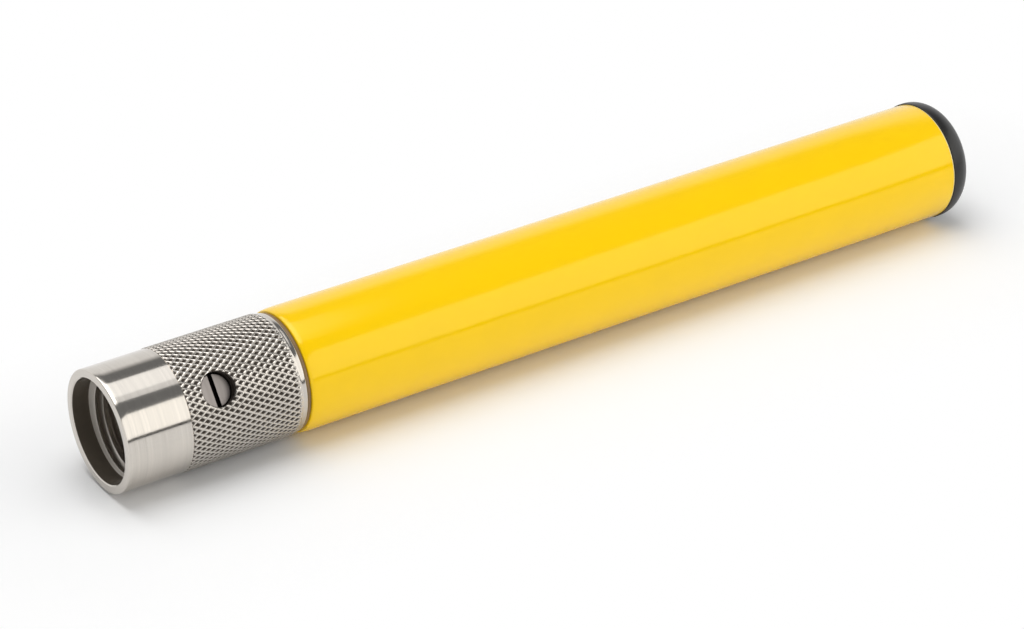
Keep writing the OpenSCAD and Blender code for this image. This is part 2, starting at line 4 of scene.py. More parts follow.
import bpy
import numpy as np
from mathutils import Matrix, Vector


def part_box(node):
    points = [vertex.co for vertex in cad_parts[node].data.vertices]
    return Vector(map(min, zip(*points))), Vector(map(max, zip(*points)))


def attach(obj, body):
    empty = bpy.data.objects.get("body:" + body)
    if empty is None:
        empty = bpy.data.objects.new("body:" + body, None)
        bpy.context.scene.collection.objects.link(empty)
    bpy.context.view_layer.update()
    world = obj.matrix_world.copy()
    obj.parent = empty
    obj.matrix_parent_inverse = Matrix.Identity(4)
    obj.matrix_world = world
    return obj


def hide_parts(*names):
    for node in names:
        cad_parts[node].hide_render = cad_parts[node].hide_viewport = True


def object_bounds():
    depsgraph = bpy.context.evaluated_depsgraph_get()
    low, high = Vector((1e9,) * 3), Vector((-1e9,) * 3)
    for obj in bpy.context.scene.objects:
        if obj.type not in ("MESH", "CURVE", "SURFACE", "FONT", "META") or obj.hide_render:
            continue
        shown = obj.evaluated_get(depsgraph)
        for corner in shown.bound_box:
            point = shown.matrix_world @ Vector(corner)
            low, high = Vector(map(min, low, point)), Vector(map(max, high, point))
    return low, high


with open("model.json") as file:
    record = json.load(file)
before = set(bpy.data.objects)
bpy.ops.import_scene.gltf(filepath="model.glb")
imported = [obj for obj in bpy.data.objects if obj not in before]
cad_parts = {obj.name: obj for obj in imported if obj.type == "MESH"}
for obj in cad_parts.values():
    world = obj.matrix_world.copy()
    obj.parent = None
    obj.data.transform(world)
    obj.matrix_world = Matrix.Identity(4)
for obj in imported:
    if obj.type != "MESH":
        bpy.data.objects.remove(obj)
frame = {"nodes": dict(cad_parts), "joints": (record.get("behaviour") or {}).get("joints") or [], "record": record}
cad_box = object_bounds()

# A locating probe for a push rod: a steel collar with a threaded mouth and a lock screw, a long
# yellow housing and a black end cap. Lengths are in metres, in the part's own frame: +X runs from
# the mouth to the cap, +Z is up, and an angle round the axis goes from +Z towards -Y.

MM = 0.001
TURN = 2 * math.pi


# ---- Sizes ----

# Collar
COLLAR_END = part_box("collar")[1].x
SMOOTH_R = 16 * MM
REAR_R = 15.75 * MM
SMOOTH_END = 17.9 * MM
KNURL_END = 48.6 * MM
EDGE_BEVEL = 0.4 * MM

# Knurl
KNURL_STARTS = 60
KNURL_ROWS = 22
KNURL_CELLS = 4
KNURL_RISE = 0.16 * MM
KNURL_DEPTH = 0.5 * MM
RIDGE_FLAT = 0.06
STEP_L = 0.12 * MM
BEVEL_START = 48.2 * MM
BEVEL_END = 49 * MM
RUN_OUT_END = BEVEL_END + 0.3 * MM

# Mouth and the cell chamber behind it
COUNTERBORE_R = 13.7 * MM
COUNTERBORE_END = 4.8 * MM
MOUTH_BREAK = 0.25 * MM
LEAD_IN_END = 5.6 * MM
MOUTH_MINOR_R = 11.9 * MM
MOUTH_MAJOR_R = 13.5 * MM
MOUTH_PITCH = 3 * MM
MOUTH_THREAD_END = 20.5 * MM
PILOT_R = 8.5 * MM
PILOT_END = 33.7 * MM
PLATE_X = 36.7 * MM
PLATE_POCKET_R = 7.43 * MM
SOCKET_X = 39 * MM
SOCKET_R = 13.55 * MM
SOCKET_ROOT_R = 14.3 * MM
SOCKET_BREAK = 0.4 * MM
NECK_PITCH = 1.5 * MM

# Lock screw and its hole
LOCK_JOINT = next(joint for joint in frame["joints"] if joint["name"] == "lock_turn")
LOCK_AXIS = Vector(LOCK_JOINT["axis"])
LOCK_X = LOCK_JOINT["pos_m"][0]
LOCK_HOLE_R = 4.5 * MM
LOCK_R = 4.45 * MM
LOCK_BOTTOM = 9.85 * MM
LOCK_TOP = 13.05 * MM
LOCK_PITCH = 1 * MM
SLOT_W = 1.2 * MM
SLOT_D = 1.2 * MM
SWIVEL_R = 1.25 * MM
SWIVEL_D = 1.5 * MM

# Washer, neck, sleeve and cap
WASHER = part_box("slip_washer")
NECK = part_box("neck_spigot")
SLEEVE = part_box("yellow_sleeve")
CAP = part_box("end_cap")
NECK_R = 13.5 * MM


# ---- Surfaces ----

WELD = 1e-7


def round_angles(columns):
    """Angles of a full turn, with the first one again at the end."""
    return np.linspace(0.0, TURN, columns + 1)


def around(x, r, a):
    """Points at the place x along the axis, r away from it and at the angle a:
    (x, -r sin a, r cos a)."""
    x, r, a = np.broadcast_arrays(x, r, a)
    return np.stack([x, -r * np.sin(a), r * np.cos(a)], -1)


def turned(profile, columns=256):
    """Grid of a surface of revolution: each (place, radius) of the profile becomes a ring."""
    profile = np.asarray(profile, float)
    return around(profile[:, :1], profile[:, 1:], round_angles(columns)[None])


def arc(centre, radius, start, end, steps):
    """Points of a round stretch of a profile: centre + radius (cos t, sin t), in degrees."""
    t = np.radians(np.linspace(start, end, steps + 1))
    return [(centre[0] + radius * c, centre[1] + radius * s) for c, s in zip(np.cos(t), np.sin(t))]


CREST_END = 0.25
ROOT_START = 0.5625
ROOT_END = 0.6875


def thread_wave(x, a, pitch, start):
    """0 on the crest of a right-handed thread and 1 at its root, by the share of a pitch at x
    and a: the crest is flat to CREST_END, and the root between ROOT_START and ROOT_END."""
    share = ((x - start) / pitch - a / TURN) % 1.0
    return np.interp(share, [0, CREST_END, ROOT_START, ROOT_END, 1], [0, 0, 1, 1, 0])


def threaded(x0, x1, pitch, radius, columns):
    """Grid of a thread between x0 and x1. Its rows climb with the helix, x = start of the row +
    pitch * a / turn, held between x0 and x1, so that the thread's edges are rows of the grid.
    The radius is a function of x and a."""
    a = round_angles(columns)[None]
    starts = [
        x0 - pitch + pitch * (turn + share)
        for turn in range(math.ceil((x1 - x0) / pitch) + 2)
        for share in (0, CREST_END, (CREST_END + ROOT_START) / 2, ROOT_START, ROOT_END)
    ]
    x = np.clip(np.array(starts)[:, None] + pitch * a / TURN, x0, x1)
    return around(x, radius(x, a), a)


def cells(grid):
    """The corners of every cell of a grid, as quads."""
    corners = [grid[:-1, :-1], grid[:-1, 1:], grid[1:, 1:], grid[1:, :-1]]
    return np.stack(corners, 2).reshape(-1, 4, 3)


def folded(grid, middles):
    """The cells of a grid as two triangles each, folded along the diagonal that passes nearer
    to the surface's own point in the middle of the cell."""
    a, b, c, d = grid[:-1, :-1], grid[:-1, 1:], grid[1:, 1:], grid[1:, :-1]
    miss_ac = np.linalg.norm((a + c) / 2 - middles, axis=-1)
    miss_bd = np.linalg.norm((b + d) / 2 - middles, axis=-1)
    along_ac = (miss_ac <= miss_bd)[..., None, None]
    first = np.where(along_ac, np.stack([a, b, c, c], 2), np.stack([a, b, d, d], 2))
    second = np.where(along_ac, np.stack([a, c, d, d], 2), np.stack([b, c, d, d], 2))
    return np.concatenate([first.reshape(-1, 4, 3), second.reshape(-1, 4, 3)])


def joined(first, second):
    """Triangles between two rings, of which one has twice as many points as the other."""
    if len(first) > len(second):
        f0, f1, f2 = first[:-1:2], first[1::2], first[2::2]
        c0, c1 = second[:-1], second[1:]
        corners = [(f0, f1, c0), (f1, c1, c0), (f1, f2, c1)]
    else:
        f0, f1, f2 = second[:-1:2], second[1::2], second[2::2]
        c0, c1 = first[:-1], first[1:]
        corners = [(c0, f1, f0), (c0, c1, f1), (c1, f2, f1)]
    return np.concatenate([np.stack([p, q, r, r], 1) for p, q, r in corners])


def mesh_of(name, parts):
    """One mesh from the corners of cells. Corners that lie on each other become one, a cell
    keeps the corners that differ, and the faces are turned outwards by the sign of the volume."""
    quads = np.concatenate(parts)
    spokes = np.cross(quads[:, 1], quads[:, 2]) + np.cross(quads[:, 2], quads[:, 3])
    if np.einsum("ij,ij->", quads[:, 0], spokes) < 0:
        quads = quads[:, ::-1]
    keys = np.round(quads.reshape(-1, 3) / WELD).astype(np.int64)
    _, first, index = np.unique(keys, axis=0, return_index=True, return_inverse=True)
    points = quads.reshape(-1, 3)[first]
    index = index.reshape(-1, 4)
    kept = index != np.roll(index, 1, axis=1)
    sides = kept.sum(1)
    whole = sides > 2
    loops = index[kept & whole[:, None]]
    sides = sides[whole]
    mesh = bpy.data.meshes.new(name)
    mesh.vertices.add(len(points))
    mesh.vertices.foreach_set("co", points.ravel())
    mesh.loops.add(len(loops))
    mesh.loops.foreach_set("vertex_index", loops)
    mesh.polygons.add(len(sides))
    mesh.polygons.foreach_set("loop_start", np.concatenate([[0], np.cumsum(sides)[:-1]]))
    mesh.update(calc_edges=True)
    mesh.validate()
    return mesh


METAL_SHARP = 30
MOULDED_SHARP = 35
WINDING_SHARP = 60


def piece(name, parts, body, node, slot, sharp=MOULDED_SHARP):
    """A finished piece that rides on a body, stands for a node and takes a slot's finish.
    Edges sharper than the given angle stay crisp."""
    mesh = mesh_of(name, parts)
    made = bpy.data.objects.new(name, mesh)
    bpy.context.scene.collection.objects.link(made)
    mesh.materials.append(FINISHES[slot])
    mesh.shade_smooth()
    mesh.set_sharp_from_angle(angle=math.radians(sharp))
    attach(made, body)
    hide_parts(node)
    return made


# ---- Nodes of the finishes ----


class Nodes:
    """Short ways to place and join the nodes of a material or a group."""

    def __init__(self, tree):
        self.tree = tree

    def add(self, kind, settings=(), inputs=()):
        """A node with its settings. Its inputs are numbers, colours or other nodes' outputs."""
        made = self.tree.nodes.new("ShaderNode" + kind)
        for name, value in dict(settings).items():
            setattr(made, name, value)
        for name, value in dict(inputs).items():
            if isinstance(value, bpy.types.NodeSocket):
                self.tree.links.new(value, made.inputs[name])
            else:
                made.inputs[name].default_value = value
        return made

    def place(self):
        """Object coordinates, which are the part's own frame."""
        return self.add("TexCoord").outputs["Object"]

    def maths(self, operation, a, b=0.0):
        return self.add("Math", {"operation": operation}, {0: a, 1: b}).outputs[0]

    def plus(self, a, b):
        return self.maths("ADD", a, b)

    def minus(self, a, b):
        return self.maths("SUBTRACT", a, b)

    def times(self, a, b):
        return self.maths("MULTIPLY", a, b)

    def inverse(self, mask):
        """1 where a mask is 0, and 0 where it is 1."""
        return self.minus(1.0, mask)

    def length(self, a, b):
        """Length of the hypotenuse over two sides."""
        return self.maths("SQRT", self.plus(self.times(a, a), self.times(b, b)))

    def split(self, vector):
        return self.add("SeparateXYZ", inputs={0: vector}).outputs

    def vector(self, x, y, z):
        return self.add("CombineXYZ", inputs={0: x, 1: y, 2: z}).outputs[0]

    def scaled(self, vector, x, y, z):
        """A vector with each coordinate multiplied."""
        return self.add("Mapping", inputs={"Vector": vector, "Scale": (x, y, z)}).outputs[0]

    def noise(self, vector, scale, detail=2.0, roughness=0.5):
        inputs = {"Vector": vector, "Scale": scale, "Detail": detail, "Roughness": roughness}
        return self.add("TexNoise", inputs=inputs).outputs[0]

    def voronoi(self, feature, vector, scale, randomness=1.0):
        """Distance from the edges or the middles of random cells."""
        inputs = {"Vector": vector, "Scale": scale, "Randomness": randomness}
        return self.add("TexVoronoi", {"feature": feature}, inputs).outputs["Distance"]

    def span(self, value, low, high, to_low=0.0, to_high=1.0):
        """A value carried from one range to another and held inside it."""
        inputs = {"Value": value, 1: low, 2: high, 3: to_low, 4: to_high}
        return self.add("MapRange", {"clamp": True}, inputs).outputs[0]

    def spread(self, noise, to_low=0.0, to_high=1.0):
        """A noise, which mostly keeps between 0.3 and 0.7, carried to a full range."""
        return self.span(noise, 0.3, 0.7, to_low, to_high)

    def window(self, value, rise, fall):
        """1 from the end of a rise to the start of a fall, and 0 outside both."""
        return self.times(self.span(value, *rise), self.span(value, *fall, 1.0, 0.0))

    def blend(self, mask, low, high):
        """A colour between two, by a mask from 0 to 1."""
        node = self.add("Mix", {"data_type": "RGBA"}, {0: mask, 6: low, 7: high})
        return node.outputs[2]

    def toned(self, noise, colour, darkest, lightest):
        """A colour that drifts between two shades of itself with a noise."""
        return self.blend(self.spread(noise), shaded(colour, darkest), shaded(colour, lightest))

    def bump(self, height, distance):
        inputs = {"Height": height, "Distance": distance, "Strength": 1.0}
        return self.add("Bump", inputs=inputs).outputs[0]

    def use(self, group, **inputs):
        """A shared group, with its inputs by name."""
        named = {label.replace("_", " "): value for label, value in inputs.items()}
        return self.add("Group", {"node_tree": group}, named).outputs

    def beyond(self, place, fade):
        """1 beyond the second of two radii, and 0 within the first."""
        return self.use(RING, Place=place, Inner=fade[0], Outer=fade[1])["Mask"]

    def feed(self, node, **links):
        """Joins outputs to a node's sockets by name."""
        for label, value in links.items():
            self.tree.links.new(value, node.inputs[label.replace("_", " ")])


def new_group(name, inputs, outputs):
    """An empty group with named float inputs and outputs; Place is its one vector."""
    tree = bpy.data.node_groups.new(name, "ShaderNodeTree")
    tree.interface.new_socket("Place", in_out="INPUT", socket_type="NodeSocketVector")
    for label, value in inputs.items():
        socket = tree.interface.new_socket(label, in_out="INPUT", socket_type="NodeSocketFloat")
        socket.default_value = value
    for label in outputs:
        tree.interface.new_socket(label, in_out="OUTPUT", socket_type="NodeSocketFloat")
    return Nodes(tree), tree.nodes.new("NodeGroupInput"), tree.nodes.new("NodeGroupOutput")


def turned_marks():
    """Fine rings that a lathe tool leaves. They run round the axis on a cylinder and are
    concentric on a face, because they follow the sum of place and radius."""
    n, given, result = new_group("turned marks", {"Marks per metre": 4000.0}, ["Height", "Tone"])
    x, y, z = n.split(given.outputs["Place"])
    along = n.times(n.plus(x, n.length(y, z)), given.outputs["Marks per metre"])
    streaks, patches = 60.0, 25.0
    fine = n.vector(along, n.times(y, streaks), n.times(z, streaks))
    broad = n.vector(n.times(along, 0.2), n.times(y, patches), n.times(z, patches))
    n.feed(result, Height=n.noise(fine, 1.0, 3.0, 0.6), Tone=n.noise(broad, 1.0, 3.0, 0.6))
    return n.tree


def ring_mask():
    """1 where a point's radius is above Outer, 0 where it is below Inner."""
    n, given, result = new_group("ring mask", {"Inner": 0.0, "Outer": 1.0}, ["Mask"])
    _, y, z = n.split(given.outputs["Place"])
    n.feed(result, Mask=n.span(n.length(y, z), given.outputs["Inner"], given.outputs["Outer"]))
    return n.tree


def moulded_grain():
    """The fine even texture of a moulded or sanded surface, and the slow drift of its tone."""
    n, given, result = new_group("moulded grain", {"Grains per metre": 2500.0}, ["Height", "Tone"])
    place = given.outputs["Place"]
    fine = n.noise(place, given.outputs["Grains per metre"], 3.0, 0.65)
    n.feed(result, Height=fine, Tone=n.noise(place, 90.0, 3.0, 0.55))
    return n.tree


def handling_scuffs():
    """Short thin scratches, sparse and in patches: edges of long thin cells, kept only where a
    slow noise is high."""
    inputs = {"Scuffs per metre": 60.0, "Width": 0.02}
    n, given, result = new_group("handling scuffs", inputs, ["Mask"])
    place = given.outputs["Place"]
    stretched = n.scaled(place, 1.0, 6.0, 4.0)
    edge = n.voronoi("DISTANCE_TO_EDGE", stretched, given.outputs["Scuffs per metre"])
    line = n.span(edge, 0.0, given.outputs["Width"], 1.0, 0.0)
    patch = n.span(n.noise(place, 150.0), 0.54, 0.66)
    n.feed(result, Mask=n.times(line, patch))
    return n.tree


MARKS = turned_marks()
RING = ring_mask()
GRAIN = moulded_grain()
SCUFFS = handling_scuffs()


def linear(red, green, blue):
    """The colour that a screen shows as red, green and blue from 0 to 255."""
    srgb = np.array([red, green, blue]) / 255
    flat = np.where(srgb <= 0.04045, srgb / 12.92, ((srgb + 0.055) / 1.055) ** 2.4)
    return (*flat.tolist(), 1.0)


def shaded(colour, factor):
    """The same colour, lighter or darker."""
    return (*[channel * factor for channel in colour[:3]], 1.0)


def new_finish(name, **sockets):
    """A material with one Principled BSDF. Plain numbers are set on the shader's own sockets."""
    material = bpy.data.materials.new(name)
    material.use_nodes = True
    n = Nodes(material.node_tree)
    shader = n.tree.nodes["Principled BSDF"]
    for label, value in sockets.items():
        shader.inputs[label.replace("_", " ")].default_value = value
    return material, n, shader


# ---- Finishes ----


def turned_steel(name, colour, roughness, marks=4000.0):
    """Turned metal: rings of the tool in the height, the tone and the gloss, with light scuffs."""
    material, n, shader = new_finish(name, Metallic=1.0)
    place = n.place()
    rings = n.use(MARKS, Place=place, Marks_per_metre=marks)
    scuff = n.use(SCUFFS, Place=place, Scuffs_per_metre=70.0, Width=0.015)["Mask"]
    rough = n.spread(rings["Tone"], roughness * 1.25, roughness * 0.85)
    n.feed(
        shader,
        Base_Color=n.toned(rings["Tone"], colour, 0.88, 1.06),
        Roughness=n.plus(rough, n.times(scuff, 0.15)),
        Normal=n.bump(rings["Height"], 0.003 * MM),
    )
    return material


# Where the collar's finish changes, each as the start and the end of a fade along X
KNURL_RISE_X = (SMOOTH_END, SMOOTH_END + 0.2 * MM)
KNURL_FALL_X = (BEVEL_START, BEVEL_START + 0.1 * MM)
# The lock screw's hole and the bore under it are painted dark, as shade, between these
HOLE_RISE_X = (21 * MM, 22 * MM)
HOLE_FALL_X = (32 * MM, 33 * MM)
# The counterbore's wall is painted darker, as shade, between these
COUNTERBORE_SHADE_RISE_X = (0.2 * MM, 0.4 * MM)
COUNTERBORE_SHADE_FALL_X = (COUNTERBORE_END - 0.1 * MM, COUNTERBORE_END)

# The same by radius
OUTSIDE_R = (15 * MM, 15.2 * MM)
# Below RIDGE_R the knurl's pits, and below HOLE_WALL_R the hole, are painted dark as shade; the pits also for some
# dirt
RIDGE_R = (15.9 * MM, 16.13 * MM)
HOLE_WALL_R = (15.2 * MM, 15.6 * MM)
# Below this radius the counterbore's wall is painted darker, as shade
COUNTERBORE_SHADE_R = (13.75 * MM, 13.9 * MM)
INSIDE_R = (13.6 * MM, 13.9 * MM)


def collar_steel():
    """The collar's steel: turned rings on the plain bands and in the mouth; between them the
    knurl's pits are painted near black, as painted shade with some dirt, and its ridges keep the
    polished steel. The lock screw's hole and the bore under it are painted as dark as the pits, as
    painted shade, and the counterbore's wall is painted darker and less metallic, as painted shade."""
    material, n, shader = new_finish("collar_steel")
    place = n.place()
    x = n.split(place)[0]
    rings = n.use(MARKS, Place=place, Marks_per_metre=7000.0)
    scuff = n.use(SCUFFS, Place=place, Scuffs_per_metre=80.0, Width=0.012)["Mask"]
    knurled = n.times(n.window(x, KNURL_RISE_X, KNURL_FALL_X), n.beyond(place, OUTSIDE_R))
    # Painted shade, with some dirt in the pits: the knurl's pits, the lock screw's hole and the bore under it are
    # painted near black
    pit = n.times(knurled, n.inverse(n.beyond(place, RIDGE_R)))
    hole = n.times(n.window(x, HOLE_RISE_X, HOLE_FALL_X), n.inverse(n.beyond(place, HOLE_WALL_R)))
    shade_and_dirt = n.maths("MAXIMUM", pit, hole)
    # Painted shade on the counterbore's wall: darker and less metallic
    counterbore_shade = n.times(n.window(x, COUNTERBORE_SHADE_RISE_X, COUNTERBORE_SHADE_FALL_X), n.inverse(n.beyond(place, COUNTERBORE_SHADE_R)))
    base = n.toned(rings["Tone"], linear(206, 200, 192), 0.92, 1.04)
    # Painted shade: near black in the pits and the hole, darker and duller on the counterbore's wall
    base = n.blend(n.times(shade_and_dirt, 0.95), base, linear(42, 34, 26))
    base = n.blend(counterbore_shade, base, linear(92, 84, 74))
    rough = n.plus(n.spread(rings["Tone"], 0.13, 0.1), n.times(scuff, 0.1))
    rough = n.plus(rough, n.times(shade_and_dirt, 0.25))
    rough = n.plus(rough, n.times(n.inverse(n.beyond(place, INSIDE_R)), 0.18))
    n.feed(
        shader,
        Base_Color=base,
        Roughness=rough,
        Metallic=n.span(counterbore_shade, 0.0, 1.0, 1.0, 0.15),
        Normal=n.bump(rings["Height"], 0.004 * MM),
    )
    return material


def screw_steel():
    """The lock screw's steel, worn and dull; below its top face, in the slot and down its sides,
    it is painted near black as shade.
    """
    material, n, shader = new_finish("screw_steel", Metallic=1.0)
    place = n.place()
    rings = n.use(MARKS, Place=place, Marks_per_metre=3000.0)
    along = n.add("VectorMath", {"operation": "DOT_PRODUCT"}, {0: place, 1: LOCK_AXIS})
    # Painted shade: below its top face, in the slot and down the thread, the screw is painted near black
    shade_below_face_height = LOCK_TOP - 0.5 * MM, LOCK_TOP - 0.2 * MM
    shade_below_face = n.span(along.outputs["Value"], *shade_below_face_height, 1.0, 0.0)
    unshaded = n.toned(rings["Tone"], linear(160, 153, 149), 0.88, 1.06)
    n.feed(
        shader,
        Base_Color=n.blend(shade_below_face, unshaded, linear(24, 21, 20)),
        Roughness=n.span(shade_below_face, 0.0, 1.0, 0.4, 0.7),
        Normal=n.bump(rings["Height"], 0.004 * MM),
    )
    return material


def sleeve_yellow():
    """Glossy yellow plastic: a faint long waviness of the tube, a few light scuffs, and a painted
    highlight: a pale band along the rear edge at the cap."""
    tint = (1.0, 1.0, 0.5, 1.0)
    material, n, shader = new_finish("sleeve_yellow", IOR=1.58, Specular_Tint=tint)
    place = n.place()
    grain = n.use(GRAIN, Place=place, Grains_per_metre=1800.0)
    scuff = n.use(SCUFFS, Place=place, Scuffs_per_metre=45.0, Width=0.006)["Mask"]
    # Painted highlight: a pale band along the sleeve's rear edge at the cap
    rear_edge_highlight_x = SLEEVE[1].x - 0.35 * MM, SLEEVE[1].x - 0.25 * MM
    cut = n.span(n.split(place)[0], *rear_edge_highlight_x)
    base = n.toned(grain["Tone"], linear(251, 204, 0), 0.985, 1.01)
    wave = n.noise(n.scaled(place, 0.35, 1.0, 1.0), 160.0)
    height = n.plus(wave, n.times(grain["Height"], 0.02))
    n.feed(
        shader,
        Base_Color=n.blend(cut, base, linear(252, 240, 190)),
        Roughness=n.plus(n.spread(grain["Tone"], 0.16, 0.12), n.times(scuff, 0.12)),
        Normal=n.bump(height, 0.03 * MM),
    )
    return material


def moulded(name, colour, roughness, grains, depth):
    """Moulded plastic, rubber or ceramic: a fine even grain, a slow drift of tone, and scuffs
    that are a little lighter."""
    material, n, shader = new_finish(name)
    place = n.place()
    grain = n.use(GRAIN, Place=place, Grains_per_metre=grains)
    scuff = n.use(SCUFFS, Place=place, Scuffs_per_metre=60.0, Width=0.012)["Mask"]
    light = tuple(min(1.0, channel * 1.3 + 0.03) for channel in colour[:3]) + (1.0,)
    tone = n.toned(grain["Tone"], colour, 0.85, 1.15)
    n.feed(
        shader,
        Base_Color=n.blend(n.times(scuff, 0.4), tone, light),
        Roughness=n.spread(grain["Height"], roughness * 0.9, min(1.0, roughness * 1.12)),
        Normal=n.bump(grain["Height"], depth),
    )
    return material


def cell_jacket():
    """A shrink jacket round a cell: plain blue with one silver band, and bare metal at both ends
    of each cell's length, which the radius gives away."""
    material, n, shader = new_finish("cell_jacket")
    place = n.place()
    grain = n.use(GRAIN, Place=place, Grains_per_metre=1200.0)
    jacketed = n.beyond(place, (6.3 * MM, 6.5 * MM))
    cell_x, cell_l = 45 * MM, 50.5 * MM
    share = n.maths("FRACT", n.maths("DIVIDE", n.minus(n.split(place)[0], cell_x), cell_l))
    band = n.window(share, (0.70, 0.705), (0.88, 0.885))
    jacket = n.blend(band, linear(24, 62, 140), linear(190, 192, 196))
    n.feed(
        shader,
        Base_Color=n.blend(jacketed, linear(200, 200, 196), jacket),
        Metallic=n.maths("MAXIMUM", band, n.inverse(jacketed)),
        Roughness=n.spread(grain["Tone"], 0.22, 0.34),
        Normal=n.bump(grain["Height"], 0.01 * MM),
    )
    return material


def board_green():
    """Solder mask over copper: straight tracks from stretched cells show as a lighter green that
    stands a little proud, with small tinned pads."""
    material, n, shader = new_finish("board_green", IOR=1.5)
    place = n.place()
    grain = n.use(GRAIN, Place=place, Grains_per_metre=4000.0)
    tracks = n.voronoi("DISTANCE_TO_EDGE", n.scaled(place, 1.0, 3.0, 0.0), 140.0)
    copper = n.span(tracks, 0.06, 0.08, 1.0, 0.0)
    dots = n.voronoi("F1", n.scaled(place, 1.0, 1.0, 0.0), 420.0, 0.3)
    patches = n.span(n.noise(place, 220.0, 1.0), 0.56, 0.58)
    pad = n.times(n.span(dots, 0.16, 0.2, 1.0, 0.0), patches)
    mask = n.blend(copper, linear(14, 74, 44), linear(32, 112, 62))
    n.feed(
        shader,
        Base_Color=n.blend(pad, mask, linear(196, 196, 190)),
        Metallic=pad,
        Roughness=n.spread(grain["Height"], 0.25, 0.4),
        Normal=n.bump(n.plus(copper, n.times(grain["Height"], 0.1)), 0.03 * MM),
    )
    return material


def foam_grey():
    """Closed-cell foam: round pores, painted darker towards their middles as shade, with a fine
    grain on them.
    """
    material, n, shader = new_finish("foam_grey")
    place = n.place()
    grain = n.use(GRAIN, Place=place, Grains_per_metre=3000.0)
    # Painted shade: each pore is painted darker towards its middle, where its hollow lies
    pores = n.voronoi("F1", place, 1500.0)
    n.feed(
        shader,
        Base_Color=n.blend(n.span(pores, 0.1, 0.45), linear(58, 58, 60), linear(122, 122, 126)),
        Roughness=n.spread(grain["Tone"], 0.85, 0.95),
        Normal=n.bump(n.plus(n.span(pores, 0.0, 0.5), n.times(grain["Height"], 0.3)), 0.1 * MM),
    )
    return material


FINISHES = {
    "collar_steel": collar_steel(),
    "neck_steel": turned_steel("neck_steel", linear(204, 199, 191), 0.22),
    "screw_steel": screw_steel(),
    "spring_steel": turned_steel("spring_steel", linear(196, 196, 196), 0.2, 2500.0),
    "brass": turned_steel("brass", linear(222, 186, 110), 0.25),
    "bright_can": turned_steel("bright_can", linear(218, 220, 222), 0.28, 2000.0),
    "copper_enamel": turned_steel("copper_enamel", linear(190, 98, 48), 0.22, 6000.0),
    "sleeve_yellow": sleeve_yellow(),
    "cap_black": moulded("cap_black", linear(22, 21, 21), 0.36, 2600.0, 0.02 * MM),
    "washer_fibre": moulded("washer_fibre", linear(128, 102, 64), 0.4, 5000.0, 0.01 * MM),
    "seal_rubber": moulded("seal_rubber", linear(24, 24, 24), 0.5, 4000.0, 0.01 * MM),
    "tube_plastic": moulded("tube_plastic", linear(52, 52, 54), 0.5, 1500.0, 0.03 * MM),
    "moulded_black": moulded("moulded_black", linear(38, 38, 38), 0.5, 2500.0, 0.02 * MM),
    "cell_jacket": cell_jacket(),
    "wire_red": moulded("wire_red", linear(196, 30, 24), 0.35, 4000.0, 0.01 * MM),
    "board_green": board_green(),
    "chip_black": moulded("chip_black", linear(34, 34, 36), 0.55, 6000.0, 0.01 * MM),
    "chip_ceramic": moulded("chip_ceramic", linear(186, 160, 124), 0.45, 6000.0, 0.01 * MM),
    "ferrite": moulded("ferrite", linear(58, 58, 62), 0.55, 5000.0, 0.02 * MM),
    "film_red": moulded("film_red", linear(170, 36, 26), 0.18, 600.0, 0.03 * MM),
    "former_cream": moulded("former_cream", linear(226, 218, 196), 0.45, 2000.0, 0.02 * MM),
    "foam_grey": foam_grey(),
}


# ---- Collar ----

FINE = 2 * KNURL_STARTS * KNURL_CELLS
COARSE = FINE // 2
PEAK_R = SMOOTH_R + KNURL_RISE
KNURL_LEAD = 2 * (KNURL_END - SMOOTH_END) / KNURL_ROWS


def collar_radius(x, a):
    """Radius of the collar's outside: the turned blank, cut down by the knurl. Two sets of
    ridges of opposite hand, at whole numbers of turn + climb and turn - climb, stand between
    four-sided pits, so the depth follows the nearer ridge."""
    blank = np.interp(
        x,
        [0, EDGE_BEVEL, SMOOTH_END - STEP_L, SMOOTH_END, SMOOTH_END + STEP_L,
         BEVEL_START, BEVEL_END, COLLAR_END - EDGE_BEVEL, COLLAR_END],
        [SMOOTH_R - EDGE_BEVEL, SMOOTH_R, SMOOTH_R, SMOOTH_R - STEP_L, PEAK_R,
         PEAK_R, REAR_R, REAR_R, REAR_R - EDGE_BEVEL],
    )
    turn = KNURL_STARTS * a / TURN
    climb = (x - SMOOTH_END) / KNURL_LEAD
    off = [2 * np.abs(v - np.round(v)) for v in (turn + climb, turn - climb)]
    depth = np.clip((np.minimum(*off) - RIDGE_FLAT) / (1 - RIDGE_FLAT), 0, 1)
    ends = [SMOOTH_END, SMOOTH_END + STEP_L, BEVEL_START, RUN_OUT_END]
    reach = np.interp(x, ends, [0, 1, 1, 0])
    return np.where(reach > 0, np.minimum(blank, PEAK_R - KNURL_DEPTH * depth * reach), blank)


def collar_outside():
    """The collar's outside from the mouth face to the rear face. The knurl's rows are spaced so
    that its folds run along the diagonals of the cells."""
    step = (KNURL_END - SMOOTH_END) / (KNURL_ROWS * KNURL_CELLS)
    knurl = SMOOTH_END + step * np.arange(KNURL_ROWS * KNURL_CELLS + 1)
    bevel = EDGE_BEVEL * (1 - np.cos(np.radians(np.arange(0, 91, 22.5))))
    front = [2 * MM, SMOOTH_END - 0.5 * MM, SMOOTH_END - STEP_L, SMOOTH_END, SMOOTH_END + STEP_L]
    run_out = np.linspace(KNURL_END, RUN_OUT_END, 4)[1:]
    x = np.concatenate([bevel, front, knurl[1:], run_out, COLLAR_END - bevel[::-1]])[:, None]
    a = round_angles(FINE)[None]
    x_mid = (x[1:] + x[:-1]) / 2
    a_mid = (a[:, 1:] + a[:, :-1]) / 2
    grid = around(x, rounded_ends(x, a), a)
    middles = around(x_mid, collar_radius(x_mid, a_mid), a_mid)
    return grid, folded(grid, middles)


